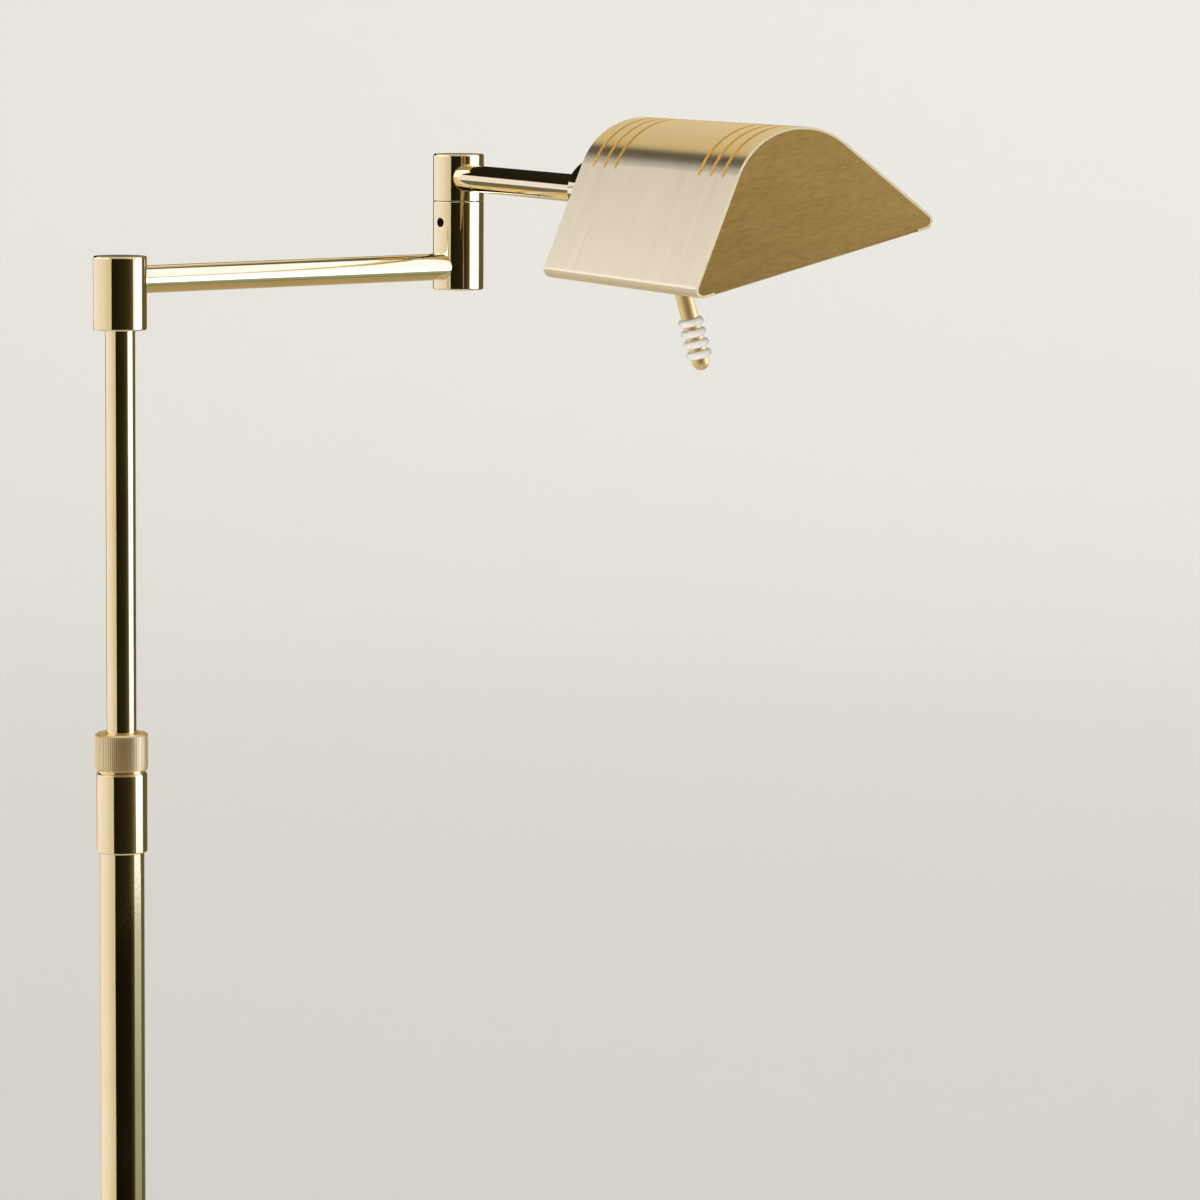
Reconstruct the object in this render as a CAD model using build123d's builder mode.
from build123d import *

import os
from math import cos, radians, sin, tan

# A swing-arm reading lamp on a floor stand, in millimetres and degrees.
# The pole stands on the Z axis and the pad's underside is the floor, z = 0.
# The shade points along -Y, and the lower arm swings out towards +X.

# Clearances
SEAT_GAP = 0.05        # between two pieces that are fixed to each other
RUN_GAP = 0.05         # all round a shaft or a tube that turns or slides in a bore
REST_GAP = 0.4         # between two pieces that pass each other

# All nuts
NUT_BEVEL = 30.0       # of the corners, from the nut's faces

# Base
BASE_RADIUS = 127.0
RIM_HEIGHT = 19.0
RIM_ROUNDING = 7.0
CROWN_RISE = 9.0
COVER_SHEET = 1.0
PAD_THICKNESS = 2.5
PAD_INSET = 4.0
PAD_BEVEL = 0.6
RECESS_RADIUS = 17.0
RECESS_DEPTH = 10.0
CHANNEL_WIDTH = 12.0
CHANNEL_HEIGHT = 12.5
POLE_SOCKET_DEPTH = 4.0
FLANGE_SPREAD = 8.5    # from the pole's skin to the flange's edge
FLANGE_HEIGHT = 8.0
FLANGE_FOOT = 2.5
FLANGE_WALL = 2.0
FLANGE_BEVEL = 0.5
NIPPLE_RADIUS = 5.0
NIPPLE_BORE = 3.2
NUT_WIDTH = 17.0       # across the flats
NUT_HEIGHT = 6.0
BASE_WASHER_RADIUS = 12.0
BASE_WASHER_THICKNESS = 1.6
PLUG_LENGTH = 28.0
THREAD_SPARE = 1.5     # thread that stands out past its nut

# Cord gland in the rear of the base
GLAND_HEIGHT = 6.5     # its axis above the underside of the weight
GLAND_RADIUS = 4.6
GLAND_BORE = 3.1
GLAND_LENGTH = 11.0
GLAND_FLANGE_RADIUS = 5.6
GLAND_FLANGE_THICKNESS = 2.4
GLAND_ROUNDING = 0.8

# Telescopic pole
POLE_RADIUS = 10.5
POLE_WALL = 1.2
POLE_LENGTH = 832.0
MAST_RADIUS = 7.0
MAST_WALL = 1.0
MAST_SHOWN = 189.4     # from the lock ring up to the post cap
MAST_RISE = 115.0      # travel left before the guide meets the sleeve
MAST_IN_CAP = 1.5
GUIDE_LENGTH = 60.0
GUIDE_LIP = 2.0

# Clamp at the top of the pole
SLEEVE_WALL = 1.5
SLEEVE_HEIGHT = 38.0
SLEEVE_SOCKET = 28.0
SLEEVE_TOP_BEVEL = 0.8
SLEEVE_FOOT_BEVEL = 0.6
SHOULDER_STEP = 1.2    # the shoulder under the ring, in from the sleeve's skin
NECK_WALL = 2.1
NECK_HEIGHT = 12.0
RING_WALL = 3.0        # over the neck's thread
RING_HEIGHT = 17.6
RING_LIFT = 0.9        # groove between the sleeve and the ring
RING_BEVEL = 0.9
KNURL_COUNT = 80
KNURL_DEPTH = 0.18
COLLET_HEIGHT = 4.0
COLLET_TAPER = 1.2
COLLET_SLIT = 1.2

# Swivel joints of the arms
JOINT_RADIUS = 12.5
JOINT_ROUNDING = 0.9
CAP_HEIGHT = 34.5
CAP_BORE_DEPTH = 15.5
SPIGOT_SHANK = 20.0
SPIGOT_BORE = 3.4
THRUST_WASHER = 0.8
SCREW_RADIUS = 2.3
SCREW_TIP_BEVEL = 0.4
SCREW_SINK = 2.2       # how far the screw's end lies below the joint's skin
SCREW_KEY = 2.4        # across the flats of its key socket
SCREW_KEY_DEPTH = 2.2
GROOVE_DEPTH = 1.3
GROOVE_PLAY = 0.3      # either side of the screw's tip

# Lower arm
ARM_RADIUS = 6.5
ARM_WALL = 1.2
ARM_SINK = 4.0         # how deep the end of a tube sits in a joint
WIRE_WAY = 3.6
LOWER_ARM_LENGTH = 219.0
LOWER_ARM_TURN = 24.5  # from +X towards +Y
LOWER_ARM_DROP = 11.4  # its axis below the top of the post cap

# Elbow
ELBOW_FOOT = 11.5      # below the lower arm's axis
ELBOW_LOWER_HEIGHT = 43.6
ELBOW_UPPER_HEIGHT = 23.0
SEAM_GAP = 0.25        # open line between the elbow's halves
SEAM_ROUNDING = 0.25
WASHER_RIM = 2.0       # wall of the lower half round its washer
ELBOW_SCREW_DROP = 10.3
ELBOW_PIN_RADIUS = 6.0
ELBOW_PIN_DEPTH = 24.0
ELBOW_PIN_ROOF = 5.0
ELBOW_PIN_BORE = 2.9

# Upper arm and tilting joint
UPPER_ARM_REACH = 251.6   # from the elbow's axis to the shade's rear edge
CUP_RADIUS = 15.0
CUP_LENGTH = 61.5
CUP_WALL = 1.5
CUP_FLOOR = 3.0
CUP_ROUNDING = 1.6
SPINDLE_SHANK = 18.0
SPINDLE_COLLAR = 2.5
SPINDLE_RADIUS = 5.0
SPINDLE_BORE = 2.8
TILT_WASHER_RADIUS = 9.0
SPRING_RADIUS = 9.0
SPRING_SHEET = 0.7
SPRING_RISE = 0.8
TILT_NUT_WIDTH = 16.0
TILT_NUT_HEIGHT = 5.0

# Shade
SHADE_TILT = 15.4      # its +X side is raised
SHADE_LENGTH = 182.0
SHADE_HALF_WIDTH = 59.4   # to the sharp corner of the section
SHADE_SLOPE = 53.3
RIDGE_RADIUS = 31.8
FOOT_RADIUS = 3.5
LIP_LENGTH = 11.5      # from the sharp corner
SHADE_SHEET = 1.2
SHEET_ROUNDING = 0.4   # of the sheet's cut edges at both ends
ARM_ABOVE_MOUTH = 23.1
PLATE_RECESS = 0.4
PLATE_FLANGE = 8.0
PLATE_BEND = 1.1
SLOT_COUNT = 3         # at each end of the ridge
SLOT_WIDTH = 3.2
SLOT_PITCH = 13.2
SLOT_FIRST = 15.5      # from the end of the shade
SLOT_DROP = 1.2        # its end below the ridge's bend

# Reflector under the ridge
REFLECTOR_GAP = 6.0
REFLECTOR_SHEET = 0.8
REFLECTOR_INSET = 47.0 # from the end of the shade, clear of its slots
REFLECTOR_SKIRT = 19.5 # its edge below the ridge's bend
STUD_RADIUS = 2.0
STUD_DROP = 9.5        # below the ridge's bend
STUD_INSET = 62.0      # from the end of the shade

# Lamp socket and bulb
SOCKET_PLAY = 1.0      # all round the socket in its cup
SOCKET_BEHIND = 34.0   # behind the rear plate
SOCKET_AHEAD = 33.0    # from the shade's rear edge
SOCKET_FLANGE = 3.0
SHADE_RING_WALL = 4.5
SHADE_RING_HEIGHT = 5.0
SHADE_RING_BEVEL = 0.8
SHADE_RING_NOTCHES = 6
SHADE_RING_NOTCH = 4.0
BULB_CAP_RADIUS = 6.8
BULB_CAP_LENGTH = 17.0
BULB_RADIUS = 7.5
BULB_LENGTH = 64.0
BULB_NECK = 4.0
BULB_CAP_WALL = 0.6

# Rotary switch and its grip rod
ROD_INSET = 17.4       # from the shade's rear edge
ROD_RADIUS = 4.0
ROD_BELOW_MOUTH = 57.8
SWITCH_FLAT = 1.0      # depth of the flat on the socket
SWITCH_RADIUS = 8.0
SWITCH_HEIGHT = 8.0
SWITCH_STEM = 2.5
SWITCH_STEM_DEPTH = 5.0
SWITCH_NUT_WIDTH = 11.0
SWITCH_NUT_HEIGHT = 2.6
GRIP_COUNT = 4
GRIP_FIRST = 35.4      # first grip ring below the mouth
GRIP_PITCH = 5.0
GRIP_CORD = 1.75
GRIP_CENTRE = 4.05

# Heights up the pole, each from the one below it
z_weight = PAD_THICKNESS
z_corner = z_weight + RIM_HEIGHT
z_crown = z_corner + CROWN_RISE
weight_inset = COVER_SHEET + SEAT_GAP
z_pole = z_crown - weight_inset - POLE_SOCKET_DEPTH
z_pole_top = z_pole + POLE_LENGTH
z_sleeve = z_pole_top + SEAT_GAP - SLEEVE_SOCKET
z_sleeve_top = z_sleeve + SLEEVE_HEIGHT
z_neck_top = z_sleeve_top + NECK_HEIGHT
z_ring = z_sleeve_top + RING_LIFT
z_ring_top = z_ring + RING_HEIGHT
z_cap = z_ring_top + MAST_SHOWN
z_cap_top = z_cap + CAP_HEIGHT
z_lower_arm = z_cap_top - LOWER_ARM_DROP
z_elbow = z_lower_arm - ELBOW_FOOT
z_seam = z_elbow + ELBOW_LOWER_HEIGHT
z_elbow_upper = z_seam + SEAM_GAP
z_upper_arm = z_elbow_upper + ELBOW_UPPER_HEIGHT / 2

# Radii that follow from what they hold
sleeve_radius = POLE_RADIUS + SLEEVE_WALL
neck_radius = MAST_RADIUS + REST_GAP + NECK_WALL
ring_radius = neck_radius + RING_WALL
arm_seat = JOINT_RADIUS - ARM_SINK
elbow_washer_radius = JOINT_RADIUS - WASHER_RIM - SEAT_GAP
washer_sink = THRUST_WASHER + RUN_GAP - SEAM_GAP
cup_bore = CUP_RADIUS - CUP_WALL
socket_radius = cup_bore - SOCKET_PLAY
shade_ring_radius = socket_radius + SHADE_RING_WALL

# Planes of the arms and the shade: each looks along the piece it carries
arm_way = Vector(cos(radians(LOWER_ARM_TURN)), sin(radians(LOWER_ARM_TURN)), 0)
elbow_foot = arm_way * LOWER_ARM_LENGTH
tilt_way = (cos(radians(SHADE_TILT)), 0, sin(radians(SHADE_TILT)))
lower_arm_plane = Plane(origin=(0, 0, z_lower_arm), x_dir=(0, 0, 1), z_dir=arm_way)
elbow_arm_plane = Plane(origin=elbow_foot + Vector(0, 0, z_lower_arm), x_dir=(0, 0, 1), z_dir=-arm_way)
upper_arm_plane = Plane(origin=elbow_foot + Vector(0, 0, z_upper_arm), x_dir=(1, 0, 0), z_dir=(0, -1, 0))
shade_plane = Plane(origin=upper_arm_plane.origin, x_dir=tilt_way, z_dir=(0, -1, 0))
shade_side_plane = Plane(origin=shade_plane.origin, x_dir=shade_plane.z_dir, z_dir=-shade_plane.x_dir)

# Places along the upper arm's axis, from the elbow's axis
s_shade_end = UPPER_ARM_REACH + SHADE_LENGTH
s_rear_plate = UPPER_ARM_REACH + PLATE_RECESS
s_front_plate = s_shade_end - PLATE_RECESS - SHADE_SHEET
s_cup = s_rear_plate - SEAT_GAP - CUP_LENGTH
s_collar_end = s_cup - RUN_GAP - THRUST_WASHER
s_arm_end = s_collar_end - SPINDLE_COLLAR
s_cup_floor = s_cup + CUP_FLOOR
s_spring = s_cup_floor + RUN_GAP
s_tilt_nut = s_spring + SPRING_RISE + SPRING_SHEET + SEAT_GAP
s_socket_front = UPPER_ARM_REACH + SOCKET_AHEAD
s_rod = UPPER_ARM_REACH + ROD_INSET

# The rod's plane looks down, out of the shade's mouth, from the upper arm's axis
rod_plane = Plane(
    origin=shade_plane.from_local_coords((0, 0, s_rod)),
    x_dir=shade_plane.x_dir,
    z_dir=-shade_plane.y_dir,
)

ON_PLANE = (Align.CENTER, Align.CENTER, Align.MIN)


def level(height):
    """A level plane on the pole's axis."""
    return Plane.XY.offset(height)


def elbow_level(height):
    """A level plane on the elbow's axis."""
    return Plane(origin=elbow_foot + Vector(0, 0, height))


def round_ring(plane, outer, inner, height):
    """A plain ring or tube that stands on a plane."""
    with BuildPart(plane) as ring:
        Cylinder(outer, height, align=ON_PLANE)
        Cylinder(inner, height, align=ON_PLANE, mode=Mode.SUBTRACT)
    return ring


def hex_nut(plane, width, bore, height):
    """A six-sided nut that stands on a plane, with both its faces bevelled."""
    with BuildPart(plane) as nut:
        with BuildSketch(plane):
            RegularPolygon(width / 2, 6, major_radius=False)
            Circle(bore, mode=Mode.SUBTRACT)
        extrude(amount=height)
        spread = width / 2 + height / tan(radians(NUT_BEVEL))
        Cone(width / 2, spread, height, align=ON_PLANE, mode=Mode.INTERSECT)
        Cone(spread, width / 2, height, align=ON_PLANE, mode=Mode.INTERSECT)
    return nut


def grub_screw(plane, shaft_radius):
    """A headless screw with a key socket, from under the skin of a joint into the groove of its shaft."""
    outer_end = JOINT_RADIUS - SCREW_SINK
    screw_length = outer_end - (shaft_radius - GROOVE_DEPTH + REST_GAP)
    with BuildPart() as screw:
        with BuildSketch(plane.offset(outer_end)):
            Circle(SCREW_RADIUS)
        extrude(amount=-screw_length)
        chamfer(screw.faces().sort_by(Axis(plane.origin, plane.z_dir))[0].edges(), SCREW_TIP_BEVEL)
        with BuildSketch(plane.offset(outer_end)):
            RegularPolygon(SCREW_KEY / 2, 6, major_radius=False)
        extrude(amount=-SCREW_KEY_DEPTH, mode=Mode.SUBTRACT)
    return screw


def groove_section(plane, shaft_radius):
    """The ring that a groove takes off a shaft, for the tip of a grub screw."""
    with BuildSketch(plane) as section:
        Circle(shaft_radius + REST_GAP)
        Circle(shaft_radius - GROOVE_DEPTH, mode=Mode.SUBTRACT)
    return section.sketch


def base_section(inset):
    """Half of the base's domed section, drawn in from its outside by an inset."""
    rim = BASE_RADIUS - inset
    crown = (0, z_crown - inset)
    corner = (rim, z_corner - inset)
    with BuildSketch(Plane.XZ) as section:
        with BuildLine():
            TangentArc(crown, corner, tangent=(1, 0))
            Polyline(corner, (rim, z_weight), (0, z_weight), crown)
        make_face()
        top_corner = section.vertices().group_by(Axis.X)[-1].sort_by(Axis.Y)[-1]
        fillet(top_corner, RIM_ROUNDING - inset)
    return section.sketch


def shade_corners(inset):
    """The two feet and the apex of the shade's section, drawn in by an inset, from the arm's axis."""
    foot = SHADE_HALF_WIDTH - inset / tan(radians(SHADE_SLOPE / 2))
    mouth = inset - ARM_ABOVE_MOUTH
    apex = foot * tan(radians(SHADE_SLOPE)) + mouth
    return (-foot, mouth), (0, apex), (foot, mouth)


def ridge_bend():
    """How high above the arm's axis the slopes of the shade's section run into its ridge."""
    slope = radians(SHADE_SLOPE)
    return shade_corners(0)[1][1] - RIDGE_RADIUS / cos(slope) + RIDGE_RADIUS * cos(slope)


def end_plate(s_outside, inward, hole_radius=0):
    """An end plate inside the shade's sheet, with a flange turned in along the mouth between the lips.

    It runs inward, +1 or -1 along the arm, from its outside, and may be pierced on the arm's axis.
    """
    inset = SHADE_SHEET + SEAT_GAP
    foot = FOOT_RADIUS - inset
    flange_width = 2 * (SHADE_HALF_WIDTH - LIP_LENGTH - REST_GAP)
    outside = shade_plane.offset(s_outside)
    bend = outside.from_local_coords((0, -ARM_ABOVE_MOUTH, 0))
    with BuildPart() as plate:
        with BuildSketch(outside):
            with BuildLine():
                left, apex, right = shade_corners(inset)
                FilletPolyline(left, apex, right, radius=[foot, RIDGE_RADIUS - inset, foot], close=True)
            make_face()
            if hole_radius:
                Circle(hole_radius, mode=Mode.SUBTRACT)
        extrude(amount=inward * SHADE_SHEET)
        with BuildSketch(outside):
            with Locations((0, SHADE_SHEET - ARM_ABOVE_MOUTH)):
                Rectangle(flange_width, 2 * SHADE_SHEET)
        extrude(amount=inward * SHADE_SHEET)
        with BuildSketch(outside):
            with Locations((0, SHADE_SHEET / 2 - ARM_ABOVE_MOUTH)):
                Rectangle(flange_width, SHADE_SHEET)
        extrude(amount=inward * PLATE_FLANGE)
        fillet(plate.edges().sort_by_distance(bend)[0], PLATE_BEND)
    return plate


pieces = {}

# Pad under the base, a full disc that closes the weight's recess
with BuildPart() as base_pad:
    Cylinder(BASE_RADIUS - PAD_INSET, PAD_THICKNESS, align=ON_PLANE)
    chamfer(base_pad.faces().sort_by(Axis.Z)[0].edges(), PAD_BEVEL)
pieces["base_pad"] = base_pad

# Axis of the cord gland, out of the rear of the rim
gland_plane = Plane(origin=(0, BASE_RADIUS, z_weight + GLAND_HEIGHT), x_dir=(1, 0, 0), z_dir=(0, 1, 0))

# Cast weight with a socket for the pole, a recess for the nut and a channel for the cord
with BuildPart() as base_weight:
    revolve(base_section(weight_inset), axis=Axis.Z)
    with Locations((0, 0, z_weight)):
        Cylinder(RECESS_RADIUS, RECESS_DEPTH, align=ON_PLANE, mode=Mode.SUBTRACT)
        Cylinder(NIPPLE_RADIUS + REST_GAP, RIM_HEIGHT + CROWN_RISE, align=ON_PLANE, mode=Mode.SUBTRACT)
    with Locations((0, 0, z_pole)):
        Cylinder(POLE_RADIUS + SEAT_GAP, CROWN_RISE, align=ON_PLANE, mode=Mode.SUBTRACT)
    with BuildSketch(level(z_weight)):
        with Locations((0, BASE_RADIUS / 2)):
            Rectangle(CHANNEL_WIDTH, BASE_RADIUS)
    extrude(amount=CHANNEL_HEIGHT, mode=Mode.SUBTRACT)
pieces["base_weight"] = base_weight

# Spun cover over the weight, pierced for the pole and the gland
with BuildPart() as base_cover:
    revolve(base_section(0), axis=Axis.Z)
    revolve(base_section(COVER_SHEET), axis=Axis.Z, mode=Mode.SUBTRACT)
    with Locations((0, 0, z_corner)):
        Cylinder(POLE_RADIUS + SEAT_GAP, 2 * CROWN_RISE, align=ON_PLANE, mode=Mode.SUBTRACT)
    with BuildSketch(gland_plane):
        Circle(GLAND_RADIUS + SEAT_GAP)
    extrude(amount=-GLAND_LENGTH, mode=Mode.SUBTRACT)
pieces["base_cover"] = base_cover

# Rubber gland that the cord comes in through
with BuildPart() as cord_gland:
    with BuildSketch(gland_plane):
        Circle(GLAND_FLANGE_RADIUS)
    extrude(amount=GLAND_FLANGE_THICKNESS)
    fillet(cord_gland.faces().sort_by(Axis.Y)[-1].edges(), GLAND_ROUNDING)
    with BuildSketch(gland_plane):
        Circle(GLAND_RADIUS)
    extrude(amount=-GLAND_LENGTH)
    with BuildSketch(gland_plane.offset(GLAND_FLANGE_THICKNESS)):
        Circle(GLAND_BORE)
    extrude(amount=-GLAND_FLANGE_THICKNESS - GLAND_LENGTH, mode=Mode.SUBTRACT)
pieces["cord_gland"] = cord_gland

# Turned collar that covers the hole where the pole goes into the base
with BuildPart() as pole_flange:
    with BuildSketch(Plane.XZ):
        with BuildLine():
            bore = POLE_RADIUS + SEAT_GAP
            neck = bore + FLANGE_WALL
            edge = POLE_RADIUS + FLANGE_SPREAD
            foot_top = (edge, z_crown + FLANGE_FOOT)
            neck_top = (neck, z_crown + FLANGE_HEIGHT)
            TangentArc(neck_top, foot_top, tangent=(0, -1))
            Polyline(foot_top, (edge, z_crown), (bore, z_crown), (bore, neck_top[1]), neck_top)
        make_face()
    revolve(axis=Axis.Z)
    chamfer(pole_flange.faces().sort_by(Axis.Z)[-1].edges().sort_by(SortBy.LENGTH)[-1], FLANGE_BEVEL)
pieces["pole_flange"] = pole_flange

# Threaded nipple, plug, washer and nut that pull the pole down on the weight
z_recess = z_weight + RECESS_DEPTH
z_base_washer = z_recess - SEAT_GAP - BASE_WASHER_THICKNESS
z_base_nut = z_base_washer - SEAT_GAP - NUT_HEIGHT
z_nipple = z_base_nut - THREAD_SPARE
nipple_length = z_pole + PLUG_LENGTH + THREAD_SPARE - z_nipple
thread_bore = NIPPLE_RADIUS + SEAT_GAP
plug_radius = POLE_RADIUS - POLE_WALL - SEAT_GAP
pieces["pole_nipple"] = round_ring(level(z_nipple), NIPPLE_RADIUS, NIPPLE_BORE, nipple_length)
pieces["pole_plug"] = round_ring(level(z_pole), plug_radius, thread_bore, PLUG_LENGTH)
pieces["base_washer"] = round_ring(
    level(z_base_washer), BASE_WASHER_RADIUS, thread_bore, BASE_WASHER_THICKNESS
)
pieces["base_nut"] = hex_nut(level(z_base_nut), NUT_WIDTH, thread_bore, NUT_HEIGHT)

# Lower tube of the pole
pieces["lower_tube"] = round_ring(level(z_pole), POLE_RADIUS, POLE_RADIUS - POLE_WALL, POLE_LENGTH)

# Clamp sleeve over the end of the lower tube, with a neck for the lock ring
with BuildPart(level(z_sleeve)) as clamp_sleeve:
    Cylinder(sleeve_radius, SLEEVE_HEIGHT, align=ON_PLANE)
    chamfer(clamp_sleeve.faces().sort_by(Axis.Z)[-1].edges(), SLEEVE_TOP_BEVEL)
    chamfer(clamp_sleeve.faces().sort_by(Axis.Z)[0].edges(), SLEEVE_FOOT_BEVEL)
    Cylinder(sleeve_radius - SHOULDER_STEP, SLEEVE_HEIGHT + RING_LIFT - RUN_GAP, align=ON_PLANE)
    Cylinder(neck_radius, SLEEVE_HEIGHT + NECK_HEIGHT, align=ON_PLANE)
    Cylinder(POLE_RADIUS + SEAT_GAP, SLEEVE_SOCKET, align=ON_PLANE, mode=Mode.SUBTRACT)
    Cylinder(MAST_RADIUS + REST_GAP, SLEEVE_HEIGHT + NECK_HEIGHT, align=ON_PLANE, mode=Mode.SUBTRACT)
pieces["clamp_sleeve"] = clamp_sleeve

# Split collet that the lock ring squeezes on the upper tube
z_collet = z_neck_top + SEAT_GAP
z_collet_top = z_collet + COLLET_HEIGHT
collet_bore = MAST_RADIUS + RUN_GAP
collet_tip = neck_radius - COLLET_TAPER
with BuildPart(level(z_collet)) as clamp_collet:
    Cone(neck_radius, collet_tip, COLLET_HEIGHT, align=ON_PLANE)
    Cylinder(collet_bore, COLLET_HEIGHT, align=ON_PLANE, mode=Mode.SUBTRACT)
    with Locations((0, neck_radius, 0)):
        Box(COLLET_SLIT, 2 * neck_radius, COLLET_HEIGHT, align=ON_PLANE, mode=Mode.SUBTRACT)
pieces["clamp_collet"] = clamp_collet

# Lock ring: straight knurl outside, thread bore and cone inside
with BuildPart(level(z_ring)) as lock_ring:
    Cylinder(ring_radius, RING_HEIGHT, align=ON_PLANE)
    chamfer(lock_ring.edges().filter_by(GeomType.CIRCLE), RING_BEVEL)
    with BuildSketch(level(z_ring)):
        with PolarLocations(ring_radius, KNURL_COUNT):
            Rectangle(KNURL_DEPTH * 2 ** 0.5, KNURL_DEPTH * 2 ** 0.5, rotation=45)
    extrude(amount=RING_HEIGHT, mode=Mode.SUBTRACT)
    with BuildSketch(Plane.XZ):
        with BuildLine():
            thread = neck_radius + RUN_GAP
            mouth = MAST_RADIUS + REST_GAP
            cone_top = z_collet_top + RUN_GAP
            Polyline(
                (0, z_ring),
                (thread, z_ring),
                (thread, z_collet),
                (collet_tip + RUN_GAP, cone_top),
                (mouth, cone_top),
                (mouth, z_ring_top),
                (0, z_ring_top),
                close=True,
            )
        make_face()
    revolve(axis=Axis.Z, mode=Mode.SUBTRACT)
pieces["lock_ring"] = lock_ring

# Upper tube, with the guide bush that stops it in the pole
z_guide_top = z_pole_top - MAST_RISE - REST_GAP
z_guide = z_guide_top - GUIDE_LENGTH
z_mast = z_guide + GUIDE_LIP + SEAT_GAP
z_mast_top = z_cap + MAST_IN_CAP
mast_bore = MAST_RADIUS - MAST_WALL
pieces["upper_tube"] = round_ring(level(z_mast), MAST_RADIUS, mast_bore, z_mast_top - z_mast)
with BuildPart(level(z_guide)) as tube_guide:
    Cylinder(POLE_RADIUS - POLE_WALL - RUN_GAP, GUIDE_LENGTH, align=ON_PLANE)
    Cylinder(mast_bore - MAST_WALL, GUIDE_LENGTH, align=ON_PLANE, mode=Mode.SUBTRACT)
    with Locations((0, 0, GUIDE_LIP)):
        Cylinder(MAST_RADIUS + SEAT_GAP, GUIDE_LENGTH, align=ON_PLANE, mode=Mode.SUBTRACT)
pieces["tube_guide"] = tube_guide

# Spigot in the top of the upper tube: the post cap turns on it and its screw runs in the groove
groove_width = 2 * (SCREW_RADIUS + GROOVE_PLAY)
z_cap_bore = z_cap + CAP_BORE_DEPTH
z_spigot = z_mast_top + SEAT_GAP
z_spigot_top = z_cap_bore - RUN_GAP - THRUST_WASHER - SEAT_GAP
z_cap_screw = (z_spigot + z_spigot_top) / 2
z_cap_groove = z_cap_screw - groove_width / 2
with BuildPart(level(z_spigot)) as post_spigot:
    Cylinder(MAST_RADIUS, z_spigot_top - z_spigot, align=ON_PLANE)
    extrude(groove_section(level(z_cap_groove), MAST_RADIUS), groove_width, mode=Mode.SUBTRACT)
    with Locations((0, 0, -SPIGOT_SHANK)):
        Cylinder(mast_bore - SEAT_GAP, SPIGOT_SHANK + MAST_IN_CAP, align=ON_PLANE)
        Cylinder(SPIGOT_BORE, SPIGOT_SHANK + CAP_HEIGHT, align=ON_PLANE, mode=Mode.SUBTRACT)
pieces["post_spigot"] = post_spigot
pieces["cap_washer"] = round_ring(level(z_spigot_top + SEAT_GAP), MAST_RADIUS, WIRE_WAY, THRUST_WASHER)

# Post cap: turns on the spigot and holds the root of the lower arm
cap_screw_plane = Plane(origin=(0, 0, z_cap_screw), x_dir=(0, 0, 1), z_dir=arm_way)
with BuildPart(level(z_cap)) as post_cap:
    Cylinder(JOINT_RADIUS, CAP_HEIGHT, align=ON_PLANE)
    fillet(post_cap.edges().filter_by(GeomType.CIRCLE), JOINT_ROUNDING)
    Cylinder(MAST_RADIUS + RUN_GAP, CAP_BORE_DEPTH, align=ON_PLANE, mode=Mode.SUBTRACT)
    Cylinder(WIRE_WAY, CAP_HEIGHT - LOWER_ARM_DROP + WIRE_WAY, align=ON_PLANE, mode=Mode.SUBTRACT)
    with BuildSketch(lower_arm_plane):
        Circle(WIRE_WAY)
    extrude(amount=arm_seat, mode=Mode.SUBTRACT)
    with BuildSketch(lower_arm_plane.offset(arm_seat)):
        Circle(ARM_RADIUS + SEAT_GAP)
    extrude(amount=JOINT_RADIUS, mode=Mode.SUBTRACT)
    with BuildSketch(cap_screw_plane):
        Circle(SCREW_RADIUS + SEAT_GAP)
    extrude(amount=2 * JOINT_RADIUS, mode=Mode.SUBTRACT)
pieces["post_cap"] = post_cap
pieces["cap_screw"] = grub_screw(cap_screw_plane, MAST_RADIUS)

# Lower arm's tube, between the post cap and the elbow
lower_arm_start = arm_seat + SEAT_GAP
pieces["lower_arm"] = round_ring(
    lower_arm_plane.offset(lower_arm_start),
    ARM_RADIUS,
    ARM_RADIUS - ARM_WALL,
    LOWER_ARM_LENGTH - 2 * lower_arm_start,
)

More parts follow.
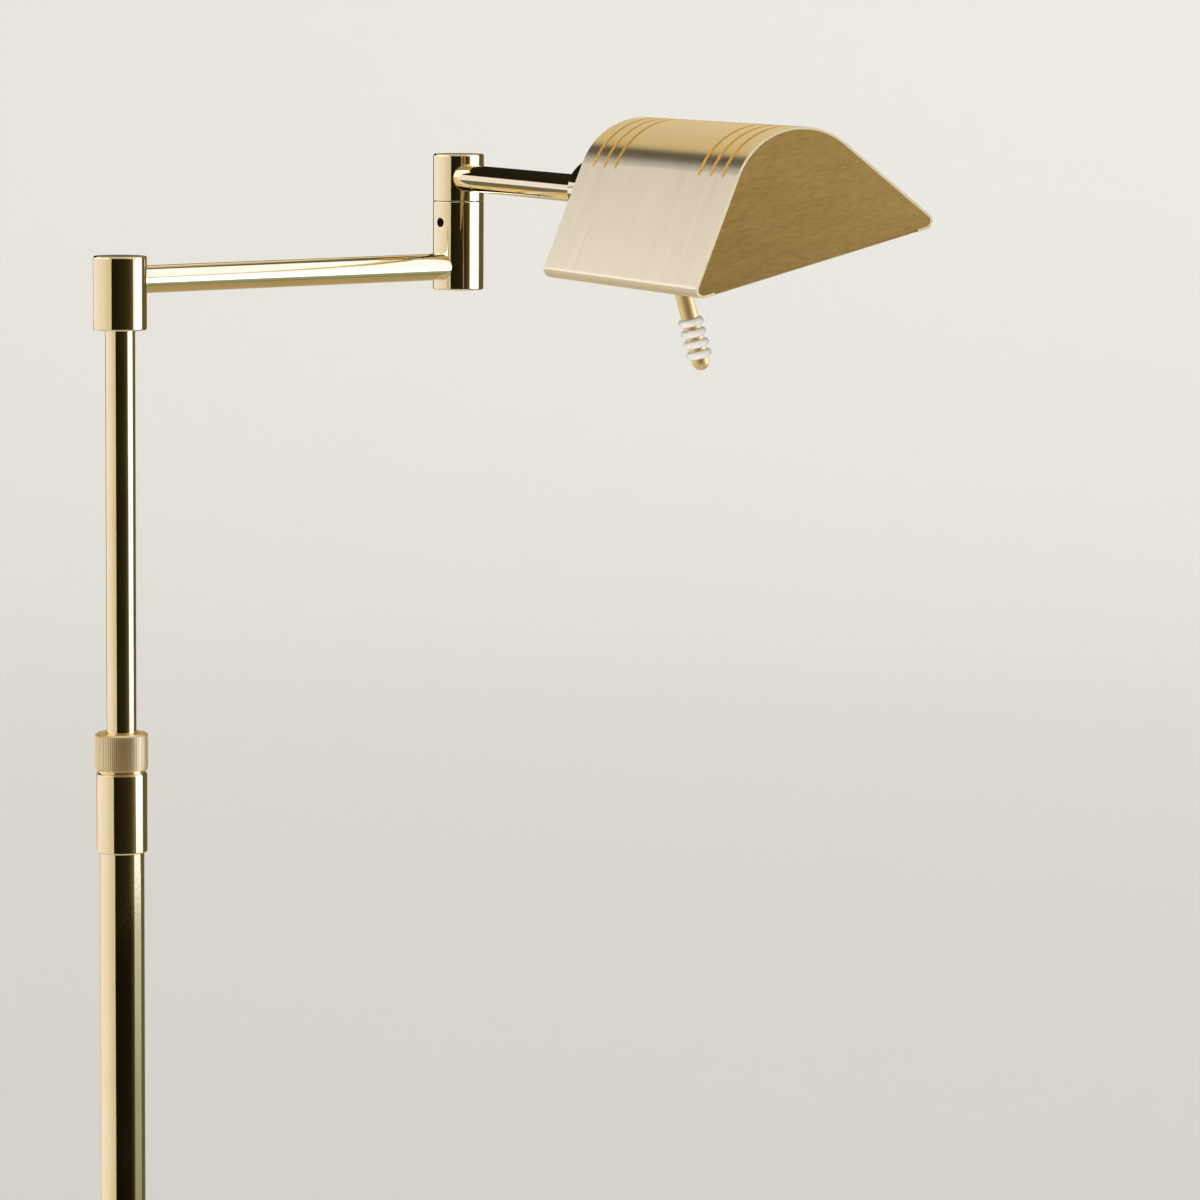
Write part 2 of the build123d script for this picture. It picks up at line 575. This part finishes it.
# Lower half of the elbow: holds the arm's end, and its screw keeps the pin in
z_pin = z_seam - ELBOW_PIN_DEPTH
z_elbow_screw = z_seam - ELBOW_SCREW_DROP
elbow_screw_plane = Plane(origin=elbow_foot + Vector(0, 0, z_elbow_screw), x_dir=(0, 0, 1), z_dir=-arm_way)
with BuildPart(elbow_level(z_elbow)) as elbow_lower:
    Cylinder(JOINT_RADIUS, ELBOW_LOWER_HEIGHT, align=ON_PLANE)
    fillet(elbow_lower.faces().sort_by(Axis.Z)[0].edges(), JOINT_ROUNDING)
    fillet(elbow_lower.faces().sort_by(Axis.Z)[-1].edges(), SEAM_ROUNDING)
    with Locations((0, 0, ELBOW_LOWER_HEIGHT - washer_sink)):
        Cylinder(elbow_washer_radius + SEAT_GAP, washer_sink, align=ON_PLANE, mode=Mode.SUBTRACT)
    with Locations((0, 0, ELBOW_FOOT - WIRE_WAY)):
        Cylinder(WIRE_WAY, ELBOW_LOWER_HEIGHT, align=ON_PLANE, mode=Mode.SUBTRACT)
    with Locations((0, 0, ELBOW_LOWER_HEIGHT - ELBOW_PIN_DEPTH)):
        Cylinder(ELBOW_PIN_RADIUS + RUN_GAP, ELBOW_PIN_DEPTH, align=ON_PLANE, mode=Mode.SUBTRACT)
    with BuildSketch(elbow_arm_plane):
        Circle(WIRE_WAY)
    extrude(amount=arm_seat, mode=Mode.SUBTRACT)
    with BuildSketch(elbow_arm_plane.offset(arm_seat)):
        Circle(ARM_RADIUS + SEAT_GAP)
    extrude(amount=JOINT_RADIUS, mode=Mode.SUBTRACT)
    with BuildSketch(elbow_screw_plane):
        Circle(SCREW_RADIUS + SEAT_GAP)
    extrude(amount=2 * JOINT_RADIUS, mode=Mode.SUBTRACT)
pieces["elbow_lower"] = elbow_lower
pieces["elbow_screw"] = grub_screw(elbow_screw_plane, ELBOW_PIN_RADIUS)
pieces["elbow_washer"] = round_ring(
    elbow_level(z_seam - washer_sink), elbow_washer_radius, ELBOW_PIN_RADIUS + RUN_GAP, THRUST_WASHER
)

# Upper half of the elbow, on the pin that turns in the lower half
pin_seat = ELBOW_UPPER_HEIGHT - ELBOW_PIN_ROOF
z_pin_top = z_elbow_upper + pin_seat - SEAT_GAP
z_pin_foot = z_pin + REST_GAP
with BuildPart(elbow_level(z_elbow_upper)) as elbow_upper:
    Cylinder(JOINT_RADIUS, ELBOW_UPPER_HEIGHT, align=ON_PLANE)
    fillet(elbow_upper.faces().sort_by(Axis.Z)[-1].edges(), JOINT_ROUNDING)
    fillet(elbow_upper.faces().sort_by(Axis.Z)[0].edges(), SEAM_ROUNDING)
    Cylinder(ELBOW_PIN_RADIUS + SEAT_GAP, pin_seat, align=ON_PLANE, mode=Mode.SUBTRACT)
    with BuildSketch(upper_arm_plane):
        Circle(WIRE_WAY)
    extrude(amount=arm_seat, mode=Mode.SUBTRACT)
    with BuildSketch(upper_arm_plane.offset(arm_seat)):
        Circle(ARM_RADIUS + SEAT_GAP)
    extrude(amount=JOINT_RADIUS, mode=Mode.SUBTRACT)
pieces["elbow_upper"] = elbow_upper
z_elbow_groove = z_elbow_screw - groove_width / 2
with BuildPart(elbow_level(z_pin_foot)) as elbow_pin:
    Cylinder(ELBOW_PIN_RADIUS, z_pin_top - z_pin_foot, align=ON_PLANE)
    Cylinder(ELBOW_PIN_BORE, z_upper_arm + ELBOW_PIN_BORE - z_pin_foot, align=ON_PLANE, mode=Mode.SUBTRACT)
    extrude(groove_section(elbow_level(z_elbow_groove), ELBOW_PIN_RADIUS), groove_width, mode=Mode.SUBTRACT)
    with BuildSketch(upper_arm_plane):
        Circle(ELBOW_PIN_BORE)
    extrude(amount=2 * ELBOW_PIN_RADIUS, mode=Mode.SUBTRACT)
pieces["elbow_pin"] = elbow_pin

# Upper arm's tube, and the spindle in its end that the head tilts on
upper_arm_start = arm_seat + SEAT_GAP
pieces["upper_arm"] = round_ring(
    upper_arm_plane.offset(upper_arm_start),
    ARM_RADIUS,
    ARM_RADIUS - ARM_WALL,
    s_arm_end - SEAT_GAP - upper_arm_start,
)
spindle_end = s_tilt_nut + TILT_NUT_HEIGHT + THREAD_SPARE
with BuildPart(upper_arm_plane.offset(s_arm_end - SPINDLE_SHANK)) as tilt_spindle:
    Cylinder(ARM_RADIUS - ARM_WALL - SEAT_GAP, SPINDLE_SHANK, align=ON_PLANE)
    with Locations((0, 0, SPINDLE_SHANK)):
        Cylinder(ARM_RADIUS, SPINDLE_COLLAR, align=ON_PLANE)
        Cylinder(SPINDLE_RADIUS, spindle_end - s_arm_end, align=ON_PLANE)
    Cylinder(SPINDLE_BORE, SPINDLE_SHANK + spindle_end - s_arm_end, align=ON_PLANE, mode=Mode.SUBTRACT)
pieces["tilt_spindle"] = tilt_spindle
pieces["tilt_washer"] = round_ring(
    upper_arm_plane.offset(s_collar_end), TILT_WASHER_RADIUS, SPINDLE_RADIUS + SEAT_GAP, THRUST_WASHER
)

# Conical spring washer and nut that set how stiffly the head tilts
with BuildPart(upper_arm_plane.offset(s_spring)) as tilt_spring:
    inner_rise = SPRING_RISE + SPRING_SHEET
    Cone(SPRING_RADIUS, SPINDLE_RADIUS, inner_rise, align=ON_PLANE)
    with Locations((0, 0, -SPRING_SHEET)):
        Cone(SPRING_RADIUS, SPINDLE_RADIUS, inner_rise, align=ON_PLANE, mode=Mode.SUBTRACT)
    Cylinder(SPINDLE_RADIUS + SEAT_GAP, inner_rise, align=ON_PLANE, mode=Mode.SUBTRACT)
pieces["tilt_spring"] = tilt_spring
pieces["tilt_nut"] = hex_nut(
    upper_arm_plane.offset(s_tilt_nut), TILT_NUT_WIDTH, SPINDLE_RADIUS + SEAT_GAP, TILT_NUT_HEIGHT
)

# Socket cup: the head's housing behind the shade, which turns on the spindle
with BuildPart(shade_plane.offset(s_cup)) as socket_cup:
    Cylinder(CUP_RADIUS, CUP_LENGTH, align=ON_PLANE)
    fillet(socket_cup.faces().sort_by(Axis.Y)[-1].edges(), CUP_ROUNDING)
    with Locations((0, 0, CUP_FLOOR)):
        Cylinder(cup_bore, CUP_LENGTH, align=ON_PLANE, mode=Mode.SUBTRACT)
    Cylinder(SPINDLE_RADIUS + RUN_GAP, CUP_FLOOR, align=ON_PLANE, mode=Mode.SUBTRACT)
pieces["socket_cup"] = socket_cup

# Shade's bent sheet, with lips turned in along its mouth and vent slots over its ridge
with BuildPart() as shade_shell:
    with BuildSketch(shade_plane.offset(UPPER_ARM_REACH)):
        with BuildLine():
            left, apex, right = shade_corners(0)
            lip = SHADE_HALF_WIDTH - LIP_LENGTH
            FilletPolyline(
                (-lip, left[1]),
                left,
                apex,
                right,
                (lip, right[1]),
                radius=[FOOT_RADIUS, RIDGE_RADIUS, FOOT_RADIUS],
            )
            offset(amount=SHADE_SHEET, side=Side.RIGHT)
        make_face()
    extrude(amount=SHADE_LENGTH)
    ends = shade_shell.faces().filter_by(Axis.Y)
    fillet(ends.edges(), SHEET_ROUNDING)
    with BuildSketch(shade_side_plane):
        slot_foot = ridge_bend() - SLOT_DROP
        slot_height = apex[1] - slot_foot
        for n in range(SLOT_COUNT):
            inset = SLOT_FIRST + n * SLOT_PITCH
            with Locations(
                (UPPER_ARM_REACH + inset, slot_foot + slot_height / 2),
                (s_shade_end - inset, slot_foot + slot_height / 2),
            ):
                SlotOverall(slot_height, SLOT_WIDTH, rotation=90)
    extrude(amount=SHADE_HALF_WIDTH, both=True, mode=Mode.SUBTRACT)
pieces["shade_shell"] = shade_shell

# End plates inside the sheet; the rear one is pierced for the lamp socket
pieces["shade_front"] = end_plate(s_shade_end - PLATE_RECESS, -1)
pieces["shade_rear"] = end_plate(s_rear_plate, 1, socket_radius + SEAT_GAP)

# Bright trough over the bulb, under the ridge, which throws the light down
outer_inset = SHADE_SHEET + REFLECTOR_GAP
s_reflector = UPPER_ARM_REACH + REFLECTOR_INSET
with BuildPart() as reflector:
    with BuildSketch(shade_plane.offset(s_reflector)):
        with BuildLine():
            left, apex, right = shade_corners(outer_inset)
            edge_up = ridge_bend() - REFLECTOR_SKIRT
            edge_out = (apex[1] - edge_up) / tan(radians(SHADE_SLOPE))
            bend_radius = RIDGE_RADIUS - outer_inset
            FilletPolyline((-edge_out, edge_up), apex, (edge_out, edge_up), radius=bend_radius)
            offset(amount=REFLECTOR_SHEET, side=Side.RIGHT)
        make_face()
    extrude(amount=SHADE_LENGTH - 2 * REFLECTOR_INSET)
pieces["reflector"] = reflector

# Studs that hold the trough off the shade's two slopes
with BuildPart() as reflector_studs:
    stud_up = ridge_bend() - STUD_DROP
    apex_up = shade_corners(SHADE_SHEET + SEAT_GAP)[1][1]
    stud_out = (apex_up - stud_up) / tan(radians(SHADE_SLOPE))
    for side in (-1, 1):
        inward = shade_plane.x_dir * (-side * sin(radians(SHADE_SLOPE)))
        inward -= shade_plane.y_dir * cos(radians(SHADE_SLOPE))
        for s_stud in (UPPER_ARM_REACH + STUD_INSET, s_shade_end - STUD_INSET):
            seat = shade_plane.from_local_coords((side * stud_out, stud_up, s_stud))
            with BuildSketch(Plane(origin=seat, z_dir=inward)):
                Circle(STUD_RADIUS)
            extrude(amount=REFLECTOR_GAP - 2 * SEAT_GAP)
pieces["reflector_studs"] = reflector_studs

# Ceramic lamp socket, flanged behind the rear plate, with a flat for the switch
s_socket = s_rear_plate - SOCKET_BEHIND
bulb_bore = BULB_CAP_RADIUS + SEAT_GAP
s_bulb_cap = s_socket_front - BULB_CAP_LENGTH
with BuildPart(shade_plane.offset(s_socket)) as lamp_socket:
    Cylinder(socket_radius, s_socket_front - s_socket, align=ON_PLANE)
    with Locations((0, 0, SOCKET_BEHIND - SEAT_GAP - SOCKET_FLANGE)):
        Cylinder(cup_bore - SEAT_GAP, SOCKET_FLANGE, align=ON_PLANE)
    with Locations((0, 0, s_bulb_cap - s_socket)):
        Cylinder(bulb_bore, BULB_CAP_LENGTH, align=ON_PLANE, mode=Mode.SUBTRACT)
    with BuildSketch(rod_plane.offset(socket_radius - SWITCH_FLAT)):
        Circle(SWITCH_RADIUS + SEAT_GAP)
    extrude(amount=socket_radius, mode=Mode.SUBTRACT)
pieces["lamp_socket"] = lamp_socket

# Notched ring, screwed on the socket, that clamps the rear plate
with BuildPart(shade_plane.offset(s_rear_plate + SHADE_SHEET + SEAT_GAP)) as shade_ring:
    Cylinder(shade_ring_radius, SHADE_RING_HEIGHT, align=ON_PLANE)
    chamfer(shade_ring.faces().sort_by(Axis.Y)[0].edges(), SHADE_RING_BEVEL)
    Cylinder(socket_radius + SEAT_GAP, SHADE_RING_HEIGHT, align=ON_PLANE, mode=Mode.SUBTRACT)
    with PolarLocations(shade_ring_radius, SHADE_RING_NOTCHES):
        Cylinder(SHADE_RING_NOTCH / 2, SHADE_RING_HEIGHT, align=ON_PLANE, mode=Mode.SUBTRACT)
pieces["shade_ring"] = shade_ring

# Tubular bulb: a metal cap with a centre contact, and a round-ended glass
cap_bottom = s_bulb_cap + SEAT_GAP
glass_neck = BULB_CAP_RADIUS - BULB_CAP_WALL
with BuildPart(shade_plane.offset(cap_bottom)) as bulb_cap:
    Cylinder(BULB_CAP_RADIUS, BULB_CAP_LENGTH, align=ON_PLANE)
    with Locations((0, 0, BULB_CAP_LENGTH - BULB_NECK)):
        Cylinder(glass_neck + SEAT_GAP, BULB_NECK, align=ON_PLANE, mode=Mode.SUBTRACT)
pieces["bulb_cap"] = bulb_cap
s_glass = cap_bottom + BULB_CAP_LENGTH + SEAT_GAP
with BuildPart(shade_plane.offset(s_glass)) as bulb_glass:
    Cylinder(BULB_RADIUS, BULB_LENGTH - BULB_RADIUS, align=ON_PLANE)
    with Locations((0, 0, BULB_LENGTH - BULB_RADIUS)):
        Sphere(BULB_RADIUS)
    with Locations((0, 0, -BULB_NECK)):
        Cylinder(glass_neck, BULB_NECK, align=ON_PLANE)
pieces["bulb_glass"] = bulb_glass

# Rotary switch under the socket, with its nut at the shade's mouth
d_switch = socket_radius - SWITCH_FLAT + SEAT_GAP
d_switch_nut = d_switch + SWITCH_HEIGHT + SEAT_GAP
d_rod = d_switch_nut + SWITCH_NUT_HEIGHT + REST_GAP
d_tip = ARM_ABOVE_MOUTH + ROD_BELOW_MOUTH
stem_bore = SWITCH_STEM + RUN_GAP
with BuildPart(rod_plane.offset(d_switch)) as switch_housing:
    Cylinder(SWITCH_RADIUS, SWITCH_HEIGHT, align=ON_PLANE)
    with Locations((0, 0, SWITCH_HEIGHT - SWITCH_STEM_DEPTH)):
        Cylinder(stem_bore, SWITCH_STEM_DEPTH, align=ON_PLANE, mode=Mode.SUBTRACT)
pieces["switch_housing"] = switch_housing
switch_nut_plane = rod_plane.offset(d_switch_nut)
pieces["switch_nut"] = hex_nut(switch_nut_plane, SWITCH_NUT_WIDTH, stem_bore, SWITCH_NUT_HEIGHT)

# Grip rod that turns the switch, grooved for its rings and round at its tip
d_rings = [ARM_ABOVE_MOUTH + GRIP_FIRST + n * GRIP_PITCH for n in range(GRIP_COUNT)]
d_stem = d_switch + SWITCH_HEIGHT - SWITCH_STEM_DEPTH + REST_GAP
with BuildPart(rod_plane) as grip_rod:
    with Locations((0, 0, d_stem)):
        Cylinder(SWITCH_STEM, d_rod - d_stem, align=ON_PLANE)
    with Locations((0, 0, d_rod)):
        Cylinder(ROD_RADIUS, d_tip - ROD_RADIUS - d_rod, align=ON_PLANE)
    with Locations((0, 0, d_tip - ROD_RADIUS)):
        Sphere(ROD_RADIUS)
    with Locations(*[(0, 0, d) for d in d_rings]):
        Torus(GRIP_CENTRE, GRIP_CORD + SEAT_GAP, mode=Mode.SUBTRACT)
pieces["grip_rod"] = grip_rod
with BuildPart(rod_plane) as grip_rings:
    with Locations(*[(0, 0, d) for d in d_rings]):
        Torus(GRIP_CENTRE, GRIP_CORD)
pieces["grip_rings"] = grip_rings

# Write each piece by its own name
os.makedirs("parts", exist_ok=True)
for name, piece in pieces.items():
    piece.part.label = name
    export_step(piece.part, f"parts/{name}.step")
print(len(pieces), "pieces; top of the post cap at", round(z_cap_top, 2))
print("elbow axis", [round(v, 3) for v in elbow_foot], "upper arm axis at", round(z_upper_arm, 3))
